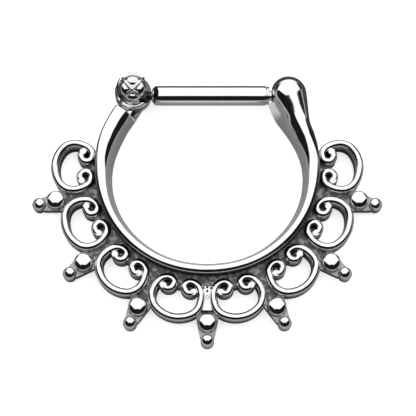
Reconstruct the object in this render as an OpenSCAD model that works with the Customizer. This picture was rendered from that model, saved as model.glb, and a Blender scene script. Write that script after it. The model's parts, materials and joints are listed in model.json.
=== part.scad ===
// Hinged septum ring: one cast steel ring with a fan of scrolls and beads, and a straight bar.
// It lies on its flat back. The front faces +Z, the bar is at the +Y side, the fan at the -Y side.
// Drawn about the centre of the ring, then moved so that the origin is under the middle of the part.

/* [Bar] */
// Diameter of the bar, 16 gauge
bar_d = 1.2; // [1.1:0.05:1.2]
// Left end of the bar's round part, from the ring's centre
bar_left = -3.18; // [-3.2:0.01:-3.15]
// Right end of the bar's round part
bar_right = 3.55; // [3.5:0.01:3.56]
// Height of the bar's axis above the ring's centre
bar_y = 4.49; // [4.48:0.01:4.52]
// Diameter of the neck that enters the catch ball
neck_d = 0.6; // [0.5:0.05:0.6]
// Thickness of the flat tongue in the hinge ball
tongue_t = 0.78; // [0.7:0.02:0.78]
// Radius of the tongue's round eye
tongue_r = 0.7; // [0.6:0.02:0.7]

/* [Balls] */
// Diameter of the hinge ball and of the catch ball
ball_d = 2.22; // [2.18:0.01:2.24]
// Hinge ball, sideways from the ring's centre
hinge_x = -4.48; // [-4.5:0.01:-4.45]
// Hinge ball, above the ring's centre
hinge_y = 4.86; // [4.8:0.01:4.88]
// Catch ball, sideways from the ring's centre
catch_x = 4.9; // [4.86:0.01:4.92]
// Catch ball, above the ring's centre
catch_y = 4.56; // [4.5:0.01:4.6]
// Width of the slots at mid-depth that take the tongue and the neck
slot_t = 0.86; // [0.84:0.01:0.9]

/* [Hinge rivet] */
// Diameter of the rivet
rivet_d = 0.5; // [0.45:0.01:0.5]
// Length of the rivet
rivet_len = 1.88; // [1.7:0.02:1.88]

/* [Band] */
// Depth of the band from back to front
band_h = 1.7; // [1.5:0.05:1.8]

/* [Scrolls] */
// Number of scroll units
units = 8; // [8]
// Angle from one unit to the next
unit_step = 26; // [25.8:0.1:26.2]
// Width of a stroke
stroke_w = 0.44; // [0.42:0.02:0.48]
// Depth of a stroke from back to front
stroke_h = 1.15; // [1:0.05:1.2]
// Radius from the ring's centre to the middle of the stroke at a unit's outer end
tip_r = 9; // [8.96:0.01:9.04]
// Half width of a unit, to the middle of its stroke
unit_half = 1.42; // [1.4:0.01:1.46]
// Radius of the curl at its middle line
curl_r = 0.33; // [0.32:0.01:0.34]
// Distance of a curl's eye from the axis of its unit
eye_t = 0.65; // [0.63:0.01:0.66]

/* [Web and beads] */
// Depth of the recessed web
web_h = 0.7; // [0.6:0.05:0.8]
// Outer radius of the web strip along the band
web_r = 7.35; // [7.2:0.05:7.4]
// Depth of the flange behind a pair of beads
flange_h = 0.5; // [0.45:0.05:0.55]
// Radius of the web under a curl
curl_web_r = 0.5; // [0.46:0.01:0.52]
// Large bead
big_d = 1.06; // [1.02:0.02:1.08]
// Radius from the ring's centre to the large beads
big_at = 9.1; // [9.05:0.01:9.15]
// Height of the large bead's centre
big_z = 0.75; // [0.7:0.01:0.8]
// Small bead
small_d = 0.78; // [0.76:0.01:0.8]
// Radius from the ring's centre to the small beads
small_at = 10.14; // [10.1:0.01:10.16]
// Height of the small bead's centre
small_z = 0.62; // [0.58:0.01:0.64]

/* [Hidden] */
$fn = 64;

// The part's highest point is on the hinge ball, its lowest on the lowest small bead
y_shift = (small_at + small_d / 2 - hinge_y - ball_d / 2) / 2;
mid_z = ball_d / 2;

// Angle from the bottom of the ring, inner radius and outer radius of the band and its legs
BAND = [
    [0, 5.72, 6.39],
    [30, 5.82, 6.46],
    [60, 5.87, 6.58],
    [80, 5.82, 6.6],
    [95, 5.68, 6.63],
    [108, 5.54, 6.67],
    [120, 5.47, 6.71],
    [130, 5.52, 6.81],
    [135, 5.66, 6.98]
];
BAND_STEPS = 4;
ANGLE = 0;
INNER = 1;
OUTER = 2;

// Smooth curve through the rows of the table. It is mirrored below row 0.
last = len(BAND) - 1;
function row(i) = i < 0 ? [-BAND[-i][0], BAND[-i][1], BAND[-i][2]] : BAND[min(i, last)];
function smooth(a, b, c, d, t) =
    (2 * b + (c - a) * t + (2 * a - 5 * b + 4 * c - d) * t * t + (3 * b - a - 3 * c + d) * t * t * t) / 2;
function section(s) = let (i = min(floor(s), last - 1))
    smooth(row(i - 1), row(i), row(i + 1), row(i + 2), s - i);
function edge_point(s, side) = let (one = section(s)) one[side] * [sin(one[ANGLE]), -cos(one[ANGLE])];

// Stroke of one half unit: four arcs that join without a corner, then the curl
turn = 35;
tip_arc_r = 1.75;
shoulder_r = (unit_half - tip_arc_r * sin(turn)) / (1 - sin(turn));
flank_r = 1.4;
roof_r = (unit_half - eye_t - flank_r * (1 - cos(turn))) / cos(turn);
curl_turn = 225;
STROKE = [
    [tip_arc_r, turn],
    [shoulder_r, 90 - turn],
    [flank_r, turn],
    [roof_r, 90 - turn],
    [curl_r, curl_turn]
];
ARC_R = 0;
ARC_TURN = 1;

// Heading and start of each arc, as the point moves along the stroke
function heading(i) = i == 0 ? 0 : heading(i - 1) + STROKE[i - 1][ARC_TURN];
function arc_step(r, h, turned) = r * [sin(h + turned) - sin(h), cos(h) - cos(h + turned)];
function arc_start(i) = i == 0 ? [0, -tip_r]
    : arc_start(i - 1) + arc_step(STROKE[i - 1][ARC_R], heading(i - 1), STROKE[i - 1][ARC_TURN]);
function arc_centre(i) = arc_start(i) + STROKE[i][ARC_R] * [-sin(heading(i)), cos(heading(i))];
eye_at = arc_centre(4);
stroke_end = arc_start(4) + arc_step(curl_r, heading(4), curl_turn);

// Points of one side of the stroke, a facet for about every 12 degrees of turn
FACET_TURN = 12;
function side_points(offset) = [
    for (i = [0:len(STROKE) - 1])
        let (steps = ceil(STROKE[i][ARC_TURN] / FACET_TURN), first = i == 0 ? 0 : 1)
            for (k = [first:steps])
                let (h = heading(i) + STROKE[i][ARC_TURN] * k / steps)
                    arc_centre(i) + (STROKE[i][ARC_R] + offset) * [sin(h), -cos(h)]
];

module half_stroke() {
    outer_side = side_points(stroke_w / 2);
    inner_side = side_points(-stroke_w / 2);
    count = len(outer_side);
    linear_extrude(stroke_h)
        polygon(concat(
            [[-0.02, outer_side[0][1]]],
            outer_side,
            [for (i = [count - 1:-1:0]) inner_side[i]],
            [[-0.02, inner_side[0][1]]]
        ));
    translate(stroke_end)
        cylinder(d = stroke_w * 1.12, h = stroke_h - 0.1);
}

module scroll_unit() {
    for (side = [0, 1])
        mirror([side, 0, 0]) {
            half_stroke();
            translate(eye_at)
                cylinder(r = curl_web_r, h = web_h);
        }
}

// A round bead on a post that is a little narrower
module bead(d, at, centre_z) {
    translate([0, -at, 0]) {
        translate([0, 0, centre_z])
            sphere(d = d);
        cylinder(d = d - 0.06, h = centre_z);
    }
}

// Beads and the flange behind them, drawn at the bottom of the ring
module bead_pair() {
    bead(big_d, big_at, big_z);
    bead(small_d, small_at, small_z);
    tip = -small_at + 0.2;
    linear_extrude(flange_h)
        polygon([
            [-0.75, -6.7], [-0.3, -7.5], [-0.95, -8.75], [-0.47, tip],
            [0.47, tip], [0.95, -8.75], [0.3, -7.5], [0.75, -6.7]
        ]);
}

module band() {
    stations = [for (s = [0:1 / BAND_STEPS:last]) s];
    count = len(stations);
    right_in = [for (s = stations) edge_point(s, INNER)];
    right_out = [for (s = stations) edge_point(s, OUTER)];
    linear_extrude(band_h)
        polygon(concat(
            [for (i = [count - 1:-1:1]) [-right_out[i][0], right_out[i][1]]],
            right_out,
            [for (i = [count - 1:-1:0]) right_in[i]],
            [for (i = [1:count - 1]) [-right_in[i][0], right_in[i][1]]]
        ));
}

// Strip of web between the band and the scrolls
module web_strip() {
    reach = 97;
    rotate(-90 - reach)
        rotate_extrude(angle = 2 * reach)
            translate([6.25, 0])
                square([web_r - 6.25, web_h]);
}

// Cut for the tongue: open to the right and to the top, so that the bar can swing up
module hinge_slot() {
    translate([0, 0, mid_z - slot_t / 2])
        linear_extrude(slot_t) {
            translate([hinge_x, hinge_y])
                circle(r = tongue_r + 0.06);
            polygon([
                [hinge_x, hinge_y - tongue_r - 0.06], [bar_left, bar_y - bar_d / 2 - 0.08],
                [bar_left + 1, bar_y - bar_d / 2 - 0.08], [bar_left + 1, hinge_y + 2],
                [hinge_x - 2, hinge_y + 2], [hinge_x - 0.76, hinge_y]
            ]);
        }
}

// Cut for the neck: open to the left and to the top
module catch_slot() {
    slot_w = neck_d + 0.1;
    translate([bar_right, bar_y - neck_d / 2 - 0.06, mid_z - slot_w / 2])
        cube([1.05, 3, slot_w]);
}

module filigree_ring() {
    color("silver")
        translate([0, y_shift, 0])
            difference() {
                union() {
                    band();
                    translate([hinge_x, hinge_y, mid_z])
                        sphere(d = ball_d);
                    translate([catch_x, catch_y, mid_z])
                        sphere(d = ball_d);
                    web_strip();
                    for (i = [0:units - 1])
                        rotate((i - (units - 1) / 2) * unit_step)
                            scroll_unit();
                    for (i = [1:units - 1])
                        rotate((i - units / 2) * unit_step)
                            bead_pair();
                }
                hinge_slot();
                catch_slot();
                translate([hinge_x, hinge_y, -0.1])
                    cylinder(d = rivet_d + 0.04, h = rivet_len + 0.2);
            }
}

module hinge_bar() {
    color("gainsboro")
        translate([0, y_shift, 0])
            difference() {
                union() {
                    translate([bar_left, bar_y, mid_z])
                        rotate([0, 90, 0])
                            cylinder(d = bar_d, h = bar_right - bar_left);
                    translate([bar_right - 0.2, bar_y, mid_z])
                        rotate([0, 90, 0])
                            cylinder(d = neck_d, h = 1.05);
                    translate([0, 0, mid_z - tongue_t / 2])
                        linear_extrude(tongue_t) {
                            translate([hinge_x, hinge_y])
                                circle(r = tongue_r);
                            polygon([
                                [hinge_x, hinge_y - tongue_r], [bar_left + 0.1, bar_y - 0.45],
                                [bar_left + 0.1, bar_y + 0.45], [hinge_x, hinge_y + tongue_r]
                            ]);
                        }
                }
                translate([hinge_x, hinge_y, 0])
                    cylinder(d = rivet_d + 0.08, h = ball_d);
            }
}

module hinge_rivet() {
    color("gray")
        translate([hinge_x, hinge_y + y_shift, 0.06])
            cylinder(d = rivet_d, h = rivet_len);
}

filigree_ring();
hinge_bar();
hinge_rivet();
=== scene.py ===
import json
import math

import bmesh
import bpy
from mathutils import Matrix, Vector


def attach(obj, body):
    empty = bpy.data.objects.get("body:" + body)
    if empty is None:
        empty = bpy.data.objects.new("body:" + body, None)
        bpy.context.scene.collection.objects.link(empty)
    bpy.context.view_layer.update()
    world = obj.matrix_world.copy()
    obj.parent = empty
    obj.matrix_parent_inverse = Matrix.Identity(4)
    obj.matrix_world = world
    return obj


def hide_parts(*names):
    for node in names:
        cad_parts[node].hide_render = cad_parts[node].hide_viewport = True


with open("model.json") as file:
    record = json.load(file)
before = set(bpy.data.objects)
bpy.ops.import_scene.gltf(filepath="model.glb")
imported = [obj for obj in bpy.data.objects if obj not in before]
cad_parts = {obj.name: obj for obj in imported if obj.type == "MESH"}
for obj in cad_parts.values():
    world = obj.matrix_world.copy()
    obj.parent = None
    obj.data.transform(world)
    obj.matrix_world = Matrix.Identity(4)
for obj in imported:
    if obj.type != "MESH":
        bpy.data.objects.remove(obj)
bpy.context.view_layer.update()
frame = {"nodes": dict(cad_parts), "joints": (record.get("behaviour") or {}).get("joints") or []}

# Cast band with its two legs and the catch ball: one piece of cast surgical steel.
# The front is polished like a mirror, and the inner wall slopes outwards from the back to the front.
# The right leg swells through a neck into the catch ball, and the left one ends at the hinge.
MM = 0.001
HINGE_X = -4.48
HINGE_Y = 4.86
MID_Z = 1.11
BALL_R = 1.11
# Drawn balls are this much smaller than the solid ones, so that they stay inside them
INSET = 0.01
CATCH_AT = (4.85, 4.57)
RING_Y = frame["joints"][0]["pos_m"][1] / MM - HINGE_Y

# Rows from the bottom up one side, in degrees and millimetres: angle, inner radius at the back,
# inner radius at the front, outer radius, radius and height of the ridge, and the radius of the
# camber on its inner and its outer side
BAND_ROWS = [
    (0, 5.52, 5.93, 6.39, 6.08, 1.70, 0.5, 0.36),
    (30, 5.63, 6.01, 6.46, 6.15, 1.70, 0.5, 0.36),
    (60, 5.73, 6.02, 6.58, 6.22, 1.70, 0.26, 0.32),
    (80, 5.71, 5.93, 6.60, 6.24, 1.70, 0.38, 0.32),
    (95, 5.59, 5.79, 6.63, 6.22, 1.72, 0.34, 0.36),
]
HINGE_LEG = [
    (108, 5.44, 5.62, 6.64, 6.06, 1.78, 0.26, 0.8),
    (118, 5.40, 5.50, 6.60, 5.98, 1.84, 0.22, 1.0),
    (124, 5.38, 5.52, 6.62, 5.98, 1.82, 0.22, 1.0),
    (125, 5.38, 5.53, 6.63, 5.98, 1.80, 0.22, 1.0),
    (126, 5.38, 5.60, 6.64, 6.06, 0.56, 0.5, 1.0),
    (127, 5.38, 5.62, 6.65, 6.10, 0.55, 0.5, 1.0),
    (137, 5.52, 5.94, 6.80, 6.36, 0.55, 0.8, 1.0),
]
CATCH_LEG = [
    (108, 5.38, 5.54, 6.67, 6.15, 1.74, 0.26, 0.24),
    (117, 5.25, 5.42, 6.75, 6.17, 1.82, 0.25, 0.22),
    (123, 5.20, 5.44, 6.90, 6.32, 1.78, 0.3, 0.3),
    (128, 5.21, 5.56, 7.10, 6.50, 1.60, 0.5, 0.6),
    (133, 5.34, 5.76, 7.20, 6.60, 1.20, 0.9, 0.9),
    (139, 5.60, 5.90, 7.00, 6.50, 0.60, 0.9, 0.9),
]
STEEPEST = 0.80
EDGE = 0.06
FRONT_STEPS = 22
# The neck is a cone from inside the ball to inside the leg, smoothed round the place where it ends
NECK_FROM = Vector((4.96, 4.29, 1.11))
NECK_TO = Vector((5.69, 2.46, 1.12))
NECK_R = (1.058, 0.49)
NECK_END = Vector((5.25, 3.1, 1.4))
NECK_REACH = 1.4
# Low and high corners of the slots for the bar's tip and for its tongue
CATCH_SLOT = ((3.55, 4.13, 0.76), (4.6, 7.1, 1.46))
HINGE_SLOT = ((HINGE_X - 0.76, 4.12, 0.68), (-2.9, 7.1, 1.54))
SHARP_EDGE = math.radians(50)


def select_only(piece):
    bpy.ops.object.select_all(action="DESELECT")
    piece.select_set(True)
    bpy.context.view_layer.objects.active = piece


def start_profile(points):
    """Opens edit mode on a new filled loop through the points, ready to be drawn out or spun."""
    bpy.ops.object.select_all(action="DESELECT")
    bpy.ops.mesh.primitive_circle_add(vertices=len(points), radius=1, fill_type="NGON")
    profile = bpy.context.active_object
    for vertex, point in zip(profile.data.vertices, points):
        vertex.co = point
    bpy.ops.object.mode_set(mode="EDIT")
    return profile


def draw_out(piece, points):
    """Extrudes the selected end face of the piece to a loop through the points."""
    bpy.ops.mesh.extrude_region_move()
    mesh = bmesh.from_edit_mesh(piece.data)
    end = next(face for face in mesh.faces if face.select)
    for vertex, point in zip(end.verts, points):
        vertex.co = point
    bmesh.update_edit_mesh(piece.data)


def close_up(piece):
    """Leaves edit mode with every face turned outwards."""
    bpy.ops.mesh.select_all(action="SELECT")
    bpy.ops.mesh.normals_make_consistent(inside=False)
    bpy.ops.object.mode_set(mode="OBJECT")
    return piece


def apply_modifier(piece, kind, **settings):
    select_only(piece)
    modifier = piece.modifiers.new(kind.lower(), kind)
    for key, value in settings.items():
        setattr(modifier, key, value)
    bpy.ops.object.modifier_apply(modifier=modifier.name)


def join(pieces):
    select_only(pieces[0])
    for piece in pieces[1:]:
        piece.select_set(True)
    bpy.ops.object.join()
    bpy.ops.object.transform_apply()
    return bpy.context.active_object


def fuse(pieces, voxel, passes):
    """Joins overlapping solids into one casting with small fillets where they meet."""
    fused = join(pieces)
    apply_modifier(fused, "REMESH", mode="VOXEL", voxel_size=voxel)
    apply_modifier(fused, "SMOOTH", factor=0.5, iterations=passes)
    return fused


def cut_away(piece, tool):
    apply_modifier(piece, "BOOLEAN", operation="DIFFERENCE", object=tool, solver="EXACT")
    bpy.data.objects.remove(tool)


def block(low, high):
    """A plain block between two corners, used as a cutter."""
    bpy.ops.object.select_all(action="DESELECT")
    bpy.ops.mesh.primitive_cube_add(
        size=1, location=(Vector(high) + Vector(low)) / 2, scale=Vector(high) - Vector(low)
    )
    bpy.ops.object.transform_apply()
    return bpy.context.active_object


def place(piece, name):
    """Takes a piece drawn in millimetres about the ring's centre to its place in the frame."""
    piece.name = name
    piece.scale = (MM, MM, MM)
    piece.location = (0, RING_Y * MM, 0)
    select_only(piece)
    bpy.ops.object.transform_apply()
    bpy.ops.object.shade_smooth_by_angle(angle=SHARP_EDGE)


def smooth(a, b, c, d, t):
    """The row at the share t of the way from b to c, on a smooth curve through all four."""
    return tuple(
        (2 * q + (r - p) * t + (2 * p - 5 * q + 4 * r - s) * t**2 + (3 * q - p - 3 * r + s) * t**3) / 2
        for p, q, r, s in zip(a, b, c, d)
    )


def band_stations(leg):
    """A row for every degree of one side, on a smooth curve through the table."""
    rows = BAND_ROWS + leg
    before = (-rows[1][0],) + rows[1][1:]
    padded = [before] + rows + [rows[-1]]
    stations = []
    for i in range(len(rows) - 1):
        steps = rows[i + 1][0] - rows[i][0]
        stations += [smooth(*padded[i:i + 4], k / steps) for k in range(steps)]
    return stations + [rows[-1]]


def on_ring(angle, r, z):
    """A point of the ring by its angle from the bottom, counted towards the right."""
    turned = math.radians(angle)
    return Vector((r * math.sin(turned), -r * math.cos(turned), z))


def fall(away, camber):
    """How far the front lies below its ridge: rounded at first, then a flat slope."""
    turn = camber * STEEPEST
    if away < turn:
        return away**2 / (2 * camber)
    return turn * STEEPEST / 2 + STEEPEST * (away - turn)


def band_section(row, side):
    """One closed loop across the band: flat back, sloping inner wall, cambered front, steep outside."""
    angle, back_r, front_r, outer_r, ridge_r, height, inner, outer = row
    loop = [(back_r + EDGE, 0), (back_r, EDGE)]
    for k in range(FRONT_STEPS + 1):
        r = front_r + (outer_r - front_r) * k / FRONT_STEPS
        loop.append((r, height - fall(abs(r - ridge_r), inner if r < ridge_r else outer)))
    loop += [(outer_r, EDGE), (outer_r - EDGE, 0)]
    return [on_ring(angle * side, r, z) for r, z in loop]


left_side = [band_section(row, -1) for row in reversed(band_stations(HINGE_LEG))]
right_side = [band_section(row, 1) for row in band_stations(CATCH_LEG)[1:]]
band = start_profile(left_side[0])
for loop in left_side[1:] + right_side:
    draw_out(band, loop)
close_up(band)
bpy.ops.object.select_all(action="DESELECT")
bpy.ops.mesh.primitive_uv_sphere_add(
    segments=96, ring_count=64, radius=BALL_R - INSET, location=(*CATCH_AT, MID_Z)
)
catch = bpy.context.active_object
along_neck = NECK_TO - NECK_FROM
bpy.ops.object.select_all(action="DESELECT")
bpy.ops.mesh.primitive_cone_add(
    vertices=128, radius1=NECK_R[0], radius2=NECK_R[1], depth=along_neck.length,
    location=(NECK_FROM + NECK_TO) / 2, rotation=along_neck.to_track_quat("Z", "Y").to_euler()
)
catch_neck = bpy.context.active_object
cast_band = fuse([band, catch, catch_neck], voxel=0.048, passes=16)
# The full smoothing reaches half as far as the group, and fades out beyond
run_out = cast_band.vertex_groups.new(name="run_out")
for vertex in cast_band.data.vertices:
    near = 1 - (vertex.co - NECK_END).length / NECK_REACH
    if near > 0:
        run_out.add([vertex.index], min(1, 2 * near), "REPLACE")
apply_modifier(cast_band, "SMOOTH", factor=0.5, iterations=180, vertex_group="run_out")


class Wire:
    """A value in a shader: sums and products of it are written as Python."""

    def __init__(self, tree, socket):
        self.tree = tree
        self.socket = socket

    def make(self, kind, settings, sockets, output=0):
        node = self.tree.nodes.new(kind)
        for key, value in settings.items():
            setattr(node, key, value)
        for key, value in sockets.items():
            if isinstance(value, Wire):
                self.tree.links.new(value.socket, node.inputs[key])
            else:
                node.inputs[key].default_value = value
        return Wire(self.tree, node.outputs[output])

    def maths(self, operation, first, second):
        return self.make("ShaderNodeMath", {"operation": operation}, {0: first, 1: second})

    def __add__(self, other):
        return self.maths("ADD", self, other)

    def __sub__(self, other):
        return self.maths("SUBTRACT", self, other)

    def __rsub__(self, other):
        return self.maths("SUBTRACT", other, self)

    def __mul__(self, other):
        return self.maths("MULTIPLY", self, other)

    __radd__ = __add__
    __rmul__ = __mul__

    def rise(self, low, high):
        """0 below low, 1 above high, with a soft step between."""
        return self.make(
            "ShaderNodeMapRange", {"interpolation_type": "SMOOTHSTEP"},
            {"Value": self, "From Min": low, "From Max": high}
        )

    def blend(self, low, high):
        """From the colour low to the colour high as this value goes from 0 to 1."""
        return self.make(
            "ShaderNodeMix", {"data_type": "RGBA"}, {"Factor": self, "A": (*low, 1), "B": (*high, 1)}, 2
        )


AS_CAST_ROUGHNESS = 0.4
POLISHED_ROUGHNESS = 0.07
# How far a recess takes to turn from polished to dull and dark with painted shade, to either side of its
# edge
FADE = 0.05


def cast_steel(name, bright, dull_with_painted_shade, recess_z, mottling=0.1, painted_shade_mask=None):
    """Mirror-polished steel, left grainy as cast in the recess that no wheel reaches, where painted shade
    makes it dark.

    The recess is all below recess_z, and also wherever the painted shade mask gives 1 for a place and a
    height in metres.
    The mottling is how much of the bright colour its lighter patches take.
    """
    material = bpy.data.materials.new(name)
    material.use_nodes = True
    tree = material.node_tree
    shader = tree.nodes["Principled BSDF"]
    start = Wire(tree, None)
    spot = start.make("ShaderNodeTexCoord", {}, {}, "Object")
    x, y, height = (start.make("ShaderNodeSeparateXYZ", {}, {"Vector": spot}, axis) for axis in "XYZ")
    polished_unshaded = height.rise((recess_z - FADE) * MM, (recess_z + FADE) * MM)
    # Painted shade: places where the mask gives 1 are darkened like the recess
    if painted_shade_mask:
        polished_unshaded = polished_unshaded * (1 - painted_shade_mask(x, y, height))
    grain = start.make("ShaderNodeTexNoise", {}, {"Vector": spot, "Scale": 5200, "Detail": 3}, "Fac")
    cloud = start.make("ShaderNodeTexNoise", {}, {"Vector": spot, "Scale": 700, "Detail": 2}, "Fac")
    mottle = start.make("ShaderNodeTexNoise", {}, {"Vector": spot, "Scale": 3600, "Detail": 2}, "Fac")
    recess = mottling * (mottle.rise(0.40, 0.66) - 0.25) * (1 - polished_unshaded)
    # The recess's dark colour is painted shade; its roughness and grain are the as-cast finish
    colour = (polished_unshaded * (1 - 0.12 * cloud) + recess).blend(dull_with_painted_shade, bright)
    rough = AS_CAST_ROUGHNESS - (AS_CAST_ROUGHNESS - POLISHED_ROUGHNESS) * polished_unshaded
    rough = rough + 0.04 * cloud + 0.12 * grain * (1 - polished_unshaded)
    relief = grain * (1 - polished_unshaded * 0.97)
    bump = start.make(
        "ShaderNodeBump", {}, {"Strength": 0.5, "Distance": 0.03 * MM, "Height": relief}, "Normal"
    )
    for key, value in {"Base Color": colour, "Roughness": rough, "Normal": bump}.items():
        tree.links.new(value.socket, shader.inputs[key])
    shader.inputs["Metallic"].default_value = 1
    return material


BRIGHT = (0.78, 0.78, 0.785)
SCROLLS_FROM_R = 6.28


def squared_distance(x, y, at):
    """The square of a place's distance from an upright axis through the point at, in metres."""
    right = x - at[0] * MM
    back = y - (RING_Y + at[1]) * MM
    return right * right + back * back


def painted_shade_behind_scrolls(x, y, height):
    """The outside of the band, where the scrolls and their web join it, which is painted near black there
    as shade.
    """
    outside = squared_distance(x, y, (0, 0)).rise(
        (SCROLLS_FROM_R * MM) ** 2, ((SCROLLS_FROM_R + 0.06) * MM) ** 2
    )
    beside_legs = y.rise((RING_Y + 0.4) * MM, (RING_Y + 1.2) * MM)
    on_front = height.rise(1.52 * MM, 1.6 * MM)
    return outside * (1 - beside_legs) * (1 - on_front)


# Painted shade: the band is near black at its foot and on its outside behind the scrolls
band_steel = cast_steel("band_steel", BRIGHT, (0.012, 0.012, 0.012), 0.02, painted_shade_mask=painted_shade_behind_scrolls)
cut_away(cast_band, block(*CATCH_SLOT))
cut_away(cast_band, block(*HINGE_SLOT))
place(cast_band, "cast_band")
cast_band.data.materials.append(band_steel)
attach(cast_band, "ring")
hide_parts("filigree_ring")

# Hinge ball: a short barrel that is part of the casting, with a domed cap on its front.
# The cap has four lobes between the raised bands of an X, and it leans towards the wearer's lip.
# A slot at mid-depth takes the bar's tongue.
CAP_AT = (-4.44, 4.94, 1.11)
CAP_R = 1.05
CAP_LEAN = math.radians(23)
CORE_R = CAP_R - 0.17
LOBE_TILT = math.radians(43)
LOBE_OUT = 0.58
LOBE_R = 0.43
LOBE_WIDTH = 1.25
# The X's bands and the rim are hoops: radius of the circle and of its section
BANDS = (CAP_R - 0.145, 0.085)
RIM = (CAP_R - 0.15, 0.15)
BARREL_TOP = 1.0
BARREL_BEVEL = 0.15
# Low and high corner of the box that the hinge ball stays in, flat at the back and at the bar's side
BALL_BOX = ((-7, 2, 0), (-3, 5.875, 2 * BALL_R - INSET))
QUARTER = math.pi / 2


def ball(radius, at, scale=(1, 1, 1), turned=0):
    """A ball, stretched by scale along its own axes and then turned about its upright one."""
    bpy.ops.object.select_all(action="DESELECT")
    bpy.ops.mesh.primitive_uv_sphere_add(
        segments=64, ring_count=48, radius=radius, location=at, scale=scale, rotation=(0, 0, turned)
    )
    bpy.ops.object.transform_apply()
    return bpy.context.active_object


def hoop(major, minor, at=(0, 0, 0), rotation=(0, 0, 0)):
    """A closed ring of round wire: radius of the circle and of the wire."""
    bpy.ops.object.select_all(action="DESELECT")
    bpy.ops.mesh.primitive_torus_add(
        major_radius=major, minor_radius=minor, major_segments=96, minor_segments=16,
        location=at, rotation=rotation
    )
    bpy.ops.object.transform_apply()
    return bpy.context.active_object


def post(radius, top, at, bevel):
    """An upright round post from the back to the height top, with rounded edges."""
    bpy.ops.object.select_all(action="DESELECT")
    bpy.ops.mesh.primitive_cylinder_add(vertices=96, radius=radius, depth=top, location=(*at, top / 2))
    made = bpy.context.active_object
    bpy.ops.object.transform_apply()
    apply_modifier(made, "BEVEL", width=bevel, segments=6, limit_method="ANGLE")
    return made


cap_parts = [ball(CORE_R, (0, 0, 0))]
for quarter in range(4):
    turned = math.radians(90 * quarter)
    out = LOBE_OUT * math.sin(LOBE_TILT)
    at = (out * math.cos(turned), out * math.sin(turned), LOBE_OUT * math.cos(LOBE_TILT))
    cap_parts.append(ball(LOBE_R, at, scale=(1, LOBE_WIDTH, 1), turned=turned))
for turned in (45, 135):
    cap_parts.append(hoop(*BANDS, rotation=(QUARTER, 0, math.radians(turned))))
cap_parts.append(hoop(*RIM))
cap = join(cap_parts)
cap.rotation_euler = (CAP_LEAN, 0, 0)
cap.location = CAP_AT
bpy.ops.object.transform_apply()
barrel = post(BALL_R - INSET, BARREL_TOP, (HINGE_X, HINGE_Y), BARREL_BEVEL)
hinge_knuckle = fuse([cap, barrel], voxel=0.024, passes=1)
ball_box = block(*BALL_BOX)
apply_modifier(hinge_knuckle, "BOOLEAN", operation="INTERSECT", solver="EXACT", object=ball_box)
bpy.data.objects.remove(ball_box)
cut_away(hinge_knuckle, block(*HINGE_SLOT))
place(hinge_knuckle, "hinge_knuckle")
# Painted shade: this polished steel is set darker than the band's, and the knuckle's foot below the slot
# is painted dark grey
knuckle_steel = cast_steel("knuckle_steel", (0.68, 0.68, 0.685), (0.16, 0.16, 0.161), 0.74)
hinge_knuckle.data.materials.append(knuckle_steel)
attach(hinge_knuckle, "ring")
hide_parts("filigree_ring")

# Scroll units: eight C-shaped strokes with a curl at each end, cast with the band.
# Each is one continuous stroke with a rounded front, drawn along arcs that join without a corner.
# A recessed floor, painted near black as shade, closes the eye of each curl.
UNITS = 8
UNIT_STEP = 26
TIP_R = 9.0
UNIT_HALF = 1.42
EYE_T = 0.65
CURL_R = 0.33
TURN = math.radians(35)
TIP_ARC_R = 1.75
FLANK_R = 1.4
SHOULDER_R = (UNIT_HALF - TIP_ARC_R * math.sin(TURN)) / (1 - math.sin(TURN))
ROOF_R = (UNIT_HALF - EYE_T - FLANK_R * (1 - math.cos(TURN))) / math.cos(TURN)
# Radius and turn of each arc, from the unit's outer tip to the end of its curl
STROKE_ARCS = [
    (TIP_ARC_R, TURN),
    (SHOULDER_R, QUARTER - TURN),
    (FLANK_R, TURN),
    (ROOF_R, QUARTER - TURN),
    (CURL_R, math.radians(225)),
]
# Half width and height of the stroke from the back to the front's middle
STROKE_SIDE = [
    (0.235, 0), (0.232, 0.90), (0.226, 0.965), (0.21, 1.01), (0.185, 1.045), (0.15, 1.078),
    (0.11, 1.106), (0.07, 1.129), (0.03, 1.143)
]
STROKE_TOP = 1.147
# Radius, top and rounding of the knob that ends a curl, and of the floor in its eye
CURL_END = (0.225, 1.12, 0.09)
EYE_FLOOR = (0.46, 0.45, 0.05)
EYE_R = 0.21

centres = []
point = Vector((0, -TIP_R))
heading = 0.0
for radius, turn in STROKE_ARCS:
    centre = point + radius * Vector((-math.sin(heading), math.cos(heading)))
    heading += turn
    point = centre + radius * Vector((math.sin(heading), -math.cos(heading)))
    centres.append(centre)
eye = centres[-1]
stroke_end = point
away = (stroke_end - eye).normalized()

across = [(-u, z) for u, z in STROKE_SIDE] + [(0, STROKE_TOP)]
across += [(u, z) for u, z in reversed(STROKE_SIDE)]
scroll_unit = start_profile([
    Vector((-stroke_end.x - u * away.x, stroke_end.y + u * away.y, z)) for u, z in across
])
one_side = [(centre, turn) for centre, (radius, turn) in zip(centres, STROKE_ARCS)]
path = [(Vector((-centre.x, centre.y)), turn) for centre, turn in reversed(one_side)] + one_side
for centre, turn in path:
    bpy.ops.mesh.spin(
        steps=math.ceil(math.degrees(turn) / 3), angle=-turn, center=(*centre, 0), axis=(0, 0, 1)
    )
close_up(scroll_unit)
for side in (-1, 1):
    for (radius, top, bevel), spot in ((CURL_END, stroke_end), (EYE_FLOOR, eye)):
        added = post(radius, top, (side * spot.x, spot.y), bevel)
        apply_modifier(scroll_unit, "BOOLEAN", operation="UNION", object=added, solver="EXACT")
        bpy.data.objects.remove(added)
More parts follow.
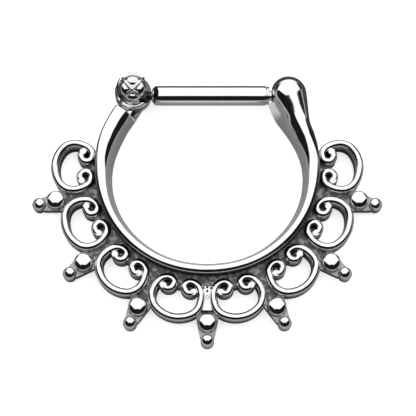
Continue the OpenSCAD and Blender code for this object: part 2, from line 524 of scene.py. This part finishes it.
# Painted shade: the stroke's walls below 0.66 mm are dark grey, and the eye of each curl is near black
# below 1.09 mm
scroll_unit.data.materials.append(cast_steel("scroll_steel", BRIGHT, (0.14, 0.14, 0.141), 0.66))
scroll_unit.data.materials.append(cast_steel("eye_steel", BRIGHT, (0.004, 0.004, 0.004), 1.09, mottling=0))
for face in scroll_unit.data.polygons:
    in_eye = math.hypot(abs(face.center.x) - eye.x, face.center.y - eye.y) < EYE_R
    face.material_index = 1 if in_eye else 0


def set_round(piece, turned, name):
    """Copies a piece modelled at the ring's bottom to its place round the ring."""
    select_only(piece)
    bpy.ops.object.duplicate()
    copy = bpy.context.active_object
    copy.rotation_euler = (0, 0, math.radians(turned))
    bpy.ops.object.transform_apply()
    place(copy, name)
    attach(copy, "ring")
    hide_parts("filigree_ring")


for i in range(UNITS):
    set_round(scroll_unit, (i - (UNITS - 1) / 2) * UNIT_STEP, "scroll_unit_%d" % (i + 1))
bpy.data.objects.remove(scroll_unit)

# Web: the thin recessed plate that joins the scrolls to the band and to each other.
# It is left dull and grainy as cast, because no polishing wheel reaches it, and its dark colour is painted
# shade.
WEB_TOP = 0.62
WEB_INNER = 6.2
WEB_OUTER = 7.32
# Degrees that the strip reaches up each side, and between two of its sections
WEB_REACH = 96
WEB_STEP = 2
SPOKE_HALF = 0.3
SPOKE_FROM = 6.7
SPOKE_TO = 8.7


def strip_section(angle):
    """One closed loop across the strip that follows the band."""
    corners = ((WEB_INNER, 0), (WEB_INNER, WEB_TOP), (WEB_OUTER, WEB_TOP), (WEB_OUTER, 0))
    return [on_ring(angle, r, z) for r, z in corners]


web_strip = start_profile(strip_section(-WEB_REACH))
for angle in range(-WEB_REACH + WEB_STEP, WEB_REACH + 1, WEB_STEP):
    draw_out(web_strip, strip_section(angle))
close_up(web_strip)
web_parts = [web_strip]
for i in range(1, UNITS):
    spoke = block((-SPOKE_HALF, -SPOKE_TO, 0), (SPOKE_HALF, -SPOKE_FROM, WEB_TOP))
    spoke.rotation_euler = (0, 0, math.radians((i - UNITS / 2) * UNIT_STEP))
    bpy.ops.object.transform_apply()
    web_parts.append(spoke)
web = fuse(web_parts, voxel=0.05, passes=2)
place(web, "web")
# Painted shade: the whole web takes the dark recess colour, with lighter patches at random
web.data.materials.append(cast_steel("web_steel", BRIGHT, (0.10, 0.10, 0.101), 0.68, mottling=0.4))
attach(web, "ring")
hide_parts("filigree_ring")

# Bridge: the polished wedge that fills the gap between the two lowest units, part of the casting.
# A small ring-shaped dimple marks its middle and four pinholes its top.
BRIDGE_TOP = 1.06
BRIDGE_OUTLINE = [
    (-0.15, -7.5), (-0.15, -7.9), (-0.30, -8.45), (0.30, -8.45), (0.15, -7.9), (0.15, -7.5),
    (0.34, -7.02), (-0.34, -7.02)
]
PINHOLES = ((-0.22, -7.14), (0, -7.10), (0.22, -7.14), (0, -7.32))
PINHOLE_R = 0.08
DIMPLE_Y = -7.68
DIMPLE = (0.09, 0.04)


def upright_plate(outline, top):
    """A plate of constant outline from the back to the height top."""
    plate = start_profile([Vector((x, y, 0)) for x, y in outline])
    draw_out(plate, [Vector((x, y, top)) for x, y in outline])
    return close_up(plate)


bridge = upright_plate(BRIDGE_OUTLINE, BRIDGE_TOP)
apply_modifier(bridge, "BEVEL", width=0.04, segments=3, limit_method="ANGLE")
for x, y in PINHOLES:
    cut_away(bridge, ball(PINHOLE_R, (x, y, BRIDGE_TOP - 0.03)))
cut_away(bridge, hoop(*DIMPLE, at=(0, DIMPLE_Y, BRIDGE_TOP)))
place(bridge, "bridge")
# Painted shade: below 1 mm the bridge's sides are near black
bridge.data.materials.append(cast_steel("bridge_steel", BRIGHT, (0.015, 0.015, 0.015), 1.0))
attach(bridge, "ring")
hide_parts("filigree_ring")

# Beads: seven pairs, a large one and a small one, cast where two units meet.
# Each is a post with a domed front. A flange behind each pair narrows towards the tip.
# Radius, distance from the ring's centre, height, radius of the dome's curve, and its slope outwards
BIG_BEAD = (0.53, 9.1, 1.22, 0.76, 0)
SMALL_BEAD = (0.385, 10.14, 0.98, 0.44, 0.27)
BEAD_SIDES = 64
DOME_STEPS = 12
FLANGE_TOP = 0.5
FLANGE_OUTLINE = [
    (-0.40, -9.94), (0.40, -9.94), (0.54, -9.3), (0.66, -8.7), (0.3, -8.2),
    (-0.3, -8.2), (-0.66, -8.7), (-0.54, -9.3)
]


def bead(radius, at, top, dome_r, lean):
    """A round post with a domed front, whose edge is broken a little below the dome."""
    turns = [2 * math.pi * k / BEAD_SIDES for k in range(BEAD_SIDES)]

    def dome(r):
        return top - dome_r + math.sqrt(dome_r**2 - r**2)

    stations = [(radius, dome(radius * 0.97) - 0.04)]
    for k in range(DOME_STEPS - 1, 0, -1):
        stations.append((radius * k / DOME_STEPS, dome(radius * k / DOME_STEPS)))
    made = start_profile([Vector((radius * math.cos(t), radius * math.sin(t) - at, 0)) for t in turns])
    for r, z in stations:
        draw_out(made, [
            Vector((r * math.cos(t), r * math.sin(t) - at, z + lean * r * math.sin(t))) for t in turns
        ])
    return close_up(made)


pair = fuse(
    [bead(*BIG_BEAD), bead(*SMALL_BEAD), upright_plate(FLANGE_OUTLINE, FLANGE_TOP)],
    voxel=0.026, passes=2
)
# Painted shade: the flange and the beads below 0.52 mm are dark grey
pair.data.materials.append(cast_steel("bead_steel", BRIGHT, (0.2, 0.2, 0.202), 0.52))
for i in range(1, UNITS):
    set_round(pair, (i - UNITS / 2) * UNIT_STEP, "bead_pair_%d" % i)
bpy.data.objects.remove(pair)

# Bar: straight steel wire, 1.2 mm thick, turned and polished, that passes through the nose.
# Its left end is hollowed round the root of the flat eye tongue, which turns in the hinge ball.
# Its right end has a groove and a small collar before the thin tip that enters the catch ball.
BAR_LEFT = -3.18
BAR_RIGHT = 3.60
BAR_Y = 4.49
BAR_R = 0.6
BAR_TIP_R = 0.3
ROOT_R = 0.27
# The hollow is an upright cone: its radius at mid-depth, top radius, depth and lowest point
HOLLOW_R = 0.70
HOLLOW_TOP_R = HOLLOW_R * 1.28
HOLLOW_DEPTH = 0.935
HOLLOW_LOW = MID_Z - 0.13
HOLLOW_AT = (BAR_LEFT - 0.40, BAR_Y)
TONGUE_R = 0.7
TONGUE_HALF = 0.39
TONGUE_TO = HINGE_X + 0.85
TONGUE_END_HALF = 0.24


def turned_rod(stations):
    """A rod along X, round at every station: place along X and radius."""
    turns = [2 * math.pi * k / 96 for k in range(96)]

    def ring(x, radius):
        return [Vector((x, BAR_Y + radius * math.cos(t), MID_Z + radius * math.sin(t))) for t in turns]

    made = start_profile(ring(*stations[0]))
    for station in stations[1:]:
        draw_out(made, ring(*station))
    return close_up(made)


rod = turned_rod([
    (BAR_LEFT, 0.555), (BAR_LEFT + 0.03, 0.575), (BAR_LEFT + 0.12, 0.588), (BAR_LEFT + 0.35, 0.598),
    (BAR_LEFT + 0.7, BAR_R), (BAR_RIGHT - 0.7, BAR_R), (BAR_RIGHT - 0.25, BAR_R),
    (BAR_RIGHT - 0.12, 0.595), (BAR_RIGHT - 0.10, 0.58), (BAR_RIGHT - 0.09, 0.53)
])
bpy.ops.object.select_all(action="DESELECT")
bpy.ops.mesh.primitive_cone_add(
    vertices=128, radius1=0.01, radius2=HOLLOW_TOP_R, depth=HOLLOW_DEPTH,
    location=(*HOLLOW_AT, HOLLOW_LOW + HOLLOW_DEPTH / 2)
)
cut_away(rod, bpy.context.active_object)
tip = turned_rod([
    (BAR_RIGHT - 0.4, 0.5), (BAR_RIGHT - 0.06, 0.5), (BAR_RIGHT - 0.05, 0.55), (BAR_RIGHT - 0.03, 0.57),
    (BAR_RIGHT + 0.04, 0.565), (BAR_RIGHT + 0.08, 0.54), (BAR_RIGHT + 0.10, 0.48),
    (BAR_RIGHT + 0.11, BAR_TIP_R), (BAR_RIGHT + 0.75, BAR_TIP_R), (BAR_RIGHT + 0.83, 0.26),
    (BAR_RIGHT + 0.85, 0.2)
])
root = turned_rod([
    (HINGE_X + TONGUE_R, ROOT_R), (BAR_LEFT - 0.13, ROOT_R), (BAR_LEFT - 0.12, 0.40),
    (BAR_LEFT - 0.09, 0.46), (BAR_LEFT - 0.02, 0.49), (BAR_LEFT + 0.03, 0.45),
    (BAR_LEFT + 0.04, ROOT_R), (BAR_LEFT + 0.8, ROOT_R)
])
tongue_outline = [
    (HINGE_X, HINGE_Y - TONGUE_R), (TONGUE_TO, BAR_Y - TONGUE_END_HALF),
    (TONGUE_TO, BAR_Y + TONGUE_END_HALF), (HINGE_X, HINGE_Y + TONGUE_R)
]
arc = [math.radians(90 + 180 * k / 24) for k in range(1, 24)]
tongue_outline += [(HINGE_X + TONGUE_R * math.cos(t), HINGE_Y + TONGUE_R * math.sin(t)) for t in arc]
tongue = start_profile([Vector((x, y, MID_Z - TONGUE_HALF)) for x, y in tongue_outline])
draw_out(tongue, [Vector((x, y, MID_Z + TONGUE_HALF)) for x, y in tongue_outline])
close_up(tongue)
hinge_bar = join([rod, tip, root, tongue])
place(hinge_bar, "hinge_bar_polished")


def painted_shade_in_hollow(x, y, height):
    """Where the bar is painted near black as shade: its hollowed left end, and the root behind the small
    collar there.
    """
    away = squared_distance(x, y, HOLLOW_AT).rise(
        ((HOLLOW_R - 0.02) * MM) ** 2, ((HOLLOW_R + 0.01) * MM) ** 2
    )
    collar = x.rise((BAR_LEFT - 0.15) * MM, (BAR_LEFT - 0.13) * MM)
    collar = collar * (1 - x.rise((BAR_LEFT - 0.02) * MM, (BAR_LEFT + 0.01) * MM))
    return (1 - away) * (1 - collar)


# Painted shade: the hollow and the root behind the collar are near black
bar_steel = cast_steel("bar_steel", (0.76, 0.76, 0.765), (0.02, 0.02, 0.02), 0.2, painted_shade_mask=painted_shade_in_hollow)
hinge_bar.data.materials.append(bar_steel)
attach(hinge_bar, "bar")
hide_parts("hinge_bar")

# Rivet: the plain steel pin that the tongue turns on.
# It is hidden in the hinge ball, where its ends are held above and below the slot.
rivet = frame["nodes"]["hinge_rivet"]
# Painted shade: the pin's foot below 0.3 mm is darker
rivet_steel = cast_steel("rivet_steel", (0.5, 0.5, 0.5), (0.3, 0.3, 0.3), 0.3)
rivet.data.materials.clear()
rivet.data.materials.append(rivet_steel)

# Floor: pale paper that the ring lies on, just below it.
# To the camera it is all white. In the mirror-like steel it shows painted shade: it is grey there,
# with a painted pool of light, a glowing card, under the bar and a darker apron of painted shade round the
# legs.
BLACK = (0, 0, 0)
WHITE = (1, 1, 1)
# Width of the paper in metres, and how far below the ring it lies in millimetres
FLOOR_SIZE = 2
FLOOR_GAP = 0.01
PAPER_SEEN = 0.93
PAPER_MIRRORED_SHADED = 0.42
APRON_PAINTED_SHADE = 0.33
GLOW_SEEN = 0.62
CARD_PAINTED_GLOW = 0.6
bpy.ops.object.select_all(action="DESELECT")
bpy.ops.mesh.primitive_plane_add(size=FLOOR_SIZE, location=(0, 0, -FLOOR_GAP * MM))
floor = bpy.context.active_object
floor.name = "floor"
paper = bpy.data.materials.new("paper")
paper.use_nodes = True
start = Wire(paper.node_tree, None)
seen = start.make("ShaderNodeLightPath", {}, {}, "Is Camera Ray")
spot = start.make("ShaderNodeTexCoord", {}, {}, "Object")
right, back = (start.make("ShaderNodeSeparateXYZ", {}, {"Vector": spot}, axis) for axis in "XY")
under = (1 - right.rise(5.2 * MM, 5.8 * MM)) * right.rise(-5.8 * MM, -5.2 * MM)
under = under * (1 - back.rise((RING_Y + 5.3) * MM, (RING_Y + 5.9) * MM))
glow_card = under * back.rise((RING_Y + 3.0) * MM, (RING_Y + 4.0) * MM)
painted_shade_apron = (1 - under) * back.rise((RING_Y + 1.0) * MM, (RING_Y + 2.0) * MM)
# Painted shade: seen in the steel the paper is darker grey, darker still on the apron; the card under the
# bar glows as painted light
tone_and_painted_shade = (PAPER_SEEN * seen + (PAPER_MIRRORED_SHADED - APRON_PAINTED_SHADE * painted_shade_apron) * (1 - seen)).blend(BLACK, WHITE)
glow_and_painted_light = (GLOW_SEEN * seen + CARD_PAINTED_GLOW * glow_card * (1 - seen)).blend(BLACK, WHITE)
paper_shader = paper.node_tree.nodes["Principled BSDF"]
paper.node_tree.links.new(tone_and_painted_shade.socket, paper_shader.inputs["Base Color"])
paper.node_tree.links.new(glow_and_painted_light.socket, paper_shader.inputs["Emission Color"])
paper_shader.inputs["Emission Strength"].default_value = 1.0
paper_shader.inputs["Roughness"].default_value = 0.9
paper_shader.inputs["Specular IOR Level"].default_value = 0.0
floor.data.materials.append(paper)

# Light tent: white above and behind the ring, with a dark foot except at the back.
# Its front has a dark opening for the camera that runs down both sides, with a grey card below it.
# The camera itself sees plain white behind the ring.
ROOF_LIGHT = 1.45
CARD_LIGHT = 0.5
FAINTEST = 0.012
BACKDROP = 1.0
world = bpy.data.worlds.new("light_tent")
bpy.context.scene.world = world
world.use_nodes = True
tree = world.node_tree
start = Wire(tree, None)
direction = start.make("ShaderNodeTexCoord", {}, {}, "Generated")
sideways, back, up = (
    start.make("ShaderNodeSeparateXYZ", {}, {"Vector": direction}, axis) for axis in "XYZ"
)
aside = sideways * sideways
# The opening's back edge bulges towards the ring in the middle, and its two arms run down the sides
roof = (back + 0.35 * aside).rise(-0.35, -0.30) * (back - aside).rise(-0.52, -0.44)
glow_card = (1 - roof) * (1 - (up + 0.12 * aside).rise(0.24, 0.34))
above_foot = 1 - (1 - up.rise(0.18, 0.36)) * (1 - back.rise(0.7, 0.92))
light = ROOF_LIGHT * roof * above_foot + CARD_LIGHT * glow_card + FAINTEST
seen = start.make("ShaderNodeLightPath", {}, {}, "Is Camera Ray")
strength = light * (1 - seen) + BACKDROP * seen
background = tree.nodes["Background"]
tree.links.new(strength.socket, background.inputs["Strength"])
background.inputs["Color"].default_value = (1, 1, 1, 1)

# Camera: above the ring's face, 14 degrees towards the fan.
# It has a macro lens and stands six centimetres away, as for a product picture of so small a piece.
LENS = 90.2
CAMERA_AT = Vector((0.04, RING_Y - 17.33, 60)) * MM
AIM_AT = Vector((0.04, RING_Y - 2.38, 0.9)) * MM
camera_data = bpy.data.cameras.new("camera")
camera = bpy.data.objects.new("camera", camera_data)
bpy.context.scene.collection.objects.link(camera)
camera_data.lens = LENS
camera_data.sensor_width = 36
camera_data.clip_start = 0.005
camera_data.clip_end = 10
camera.location = CAMERA_AT
camera.rotation_euler = (AIM_AT - CAMERA_AT).to_track_quat("-Z", "Y").to_euler()
bpy.context.scene.camera = camera
bpy.context.scene.view_settings.view_transform = "Standard"
